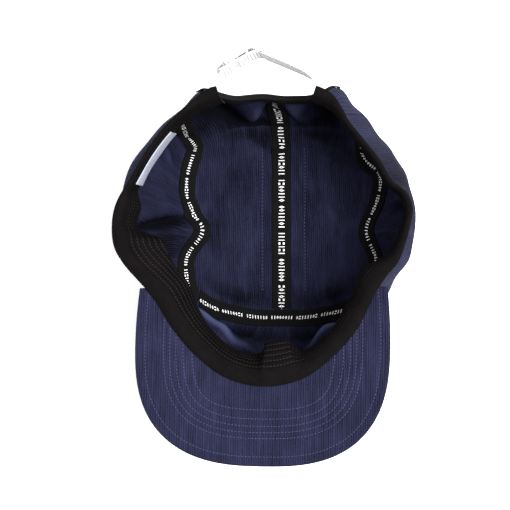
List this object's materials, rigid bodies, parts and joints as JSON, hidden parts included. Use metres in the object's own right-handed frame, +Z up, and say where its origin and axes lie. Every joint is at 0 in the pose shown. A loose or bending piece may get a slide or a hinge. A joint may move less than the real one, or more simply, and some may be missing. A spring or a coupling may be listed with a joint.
{
  "type": "five-panel cap",
  "caption": "Soft peaked cap lying on its crown, opening up, with taped inner seams, an inner sweatband and a webbing strap with a slide at the back opening.",
  "frame": {"origin": "centre of the bounding box's underside, on the surface that the crown rests on", "axes": "+Z up out of the cap's opening (the cap lies upside down), -Y towards the peak, +X towards the wearer's right side, across the peak"},
  "size_m": [0.195, 0.271, 0.1034],
  "materials": {
    "navy_cloth": "fine crosswise ribs, matt",
    "peak_cloth": "fine ribs over a stiff board, stitched in rows",
    "black_twill": "ribbed, matt",
    "seam_tape": "woven tape, matt, with woven white marks",
    "black_binding": "woven tape, matt",
    "white_webbing": "cross-ribbed webbing",
    "white_plastic": "moulded, half gloss",
    "pale_satin": "printed satin label, left bare"
  },
  "bodies": {
    "root": {"front_panel": "navy_cloth", "side_panel_left": "navy_cloth", "side_panel_right": "navy_cloth", "top_panel_left": "navy_cloth", "top_panel_right": "navy_cloth", "peak": "peak_cloth", "sweatband": "black_twill", "side_tape_left": "seam_tape", "side_tape_right": "seam_tape", "front_tape": "seam_tape", "centre_tape": "seam_tape", "arch_binding": "black_binding", "strap_right": "white_webbing", "strap_left": "white_webbing", "slide_buckle": "white_plastic", "care_label": "pale_satin"}
  },
  "joints": []
}
